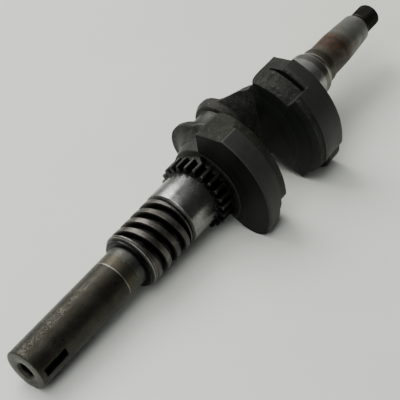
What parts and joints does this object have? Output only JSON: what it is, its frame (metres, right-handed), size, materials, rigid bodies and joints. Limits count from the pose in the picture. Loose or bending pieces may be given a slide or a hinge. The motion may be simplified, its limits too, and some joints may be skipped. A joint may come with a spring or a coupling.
{
  "type": "crankshaft",
  "caption": "Forged single-throw engine crankshaft with keyed drive shaft, worm, pressed timing gear, two counterweighted webs and a tapered, threaded flywheel end.",
  "frame": {"origin": "centre of the power take-off end face", "axes": "+X along the shaft axis towards the flywheel end, +Y from the shaft axis towards the crankpin, +Z completes the frame"},
  "size_m": [0.3406, 0.0868, 0.0678],
  "materials": {
    "dark_steel": "brown-grey turned steel, lightly pitted",
    "ground_steel": "bright ground journal with fine cross marks",
    "gear_steel": "oiled grey teeth with dark gaps",
    "forged_steel": "granular olive-grey forged skin",
    "weight_steel": "turned satin rim and oily dark faces",
    "rusty_steel": "steel with a mottled rust band",
    "taper_steel": "dull grey ground taper",
    "thread_steel": "blackened thread"
  },
  "bodies": {
    "crankshaft": {"pto_shaft": "dark_steel", "worm_collar": "dark_steel", "drive_worm": "dark_steel", "oil_groove": "dark_steel", "pto_main_journal": "ground_steel", "gear_seat": "ground_steel", "timing_gear": "gear_steel", "pto_boss": "forged_steel", "pto_web": "forged_steel", "pto_counterweight": "weight_steel", "crankpin": "ground_steel", "flywheel_web": "forged_steel", "flywheel_boss": "forged_steel", "flywheel_counterweight": "weight_steel", "flywheel_main_journal": "ground_steel", "seal_land": "ground_steel", "flywheel_land": "rusty_steel", "flywheel_taper": "taper_steel", "thread_relief": "taper_steel", "end_thread": "thread_steel"}
  },
  "joints": []
}
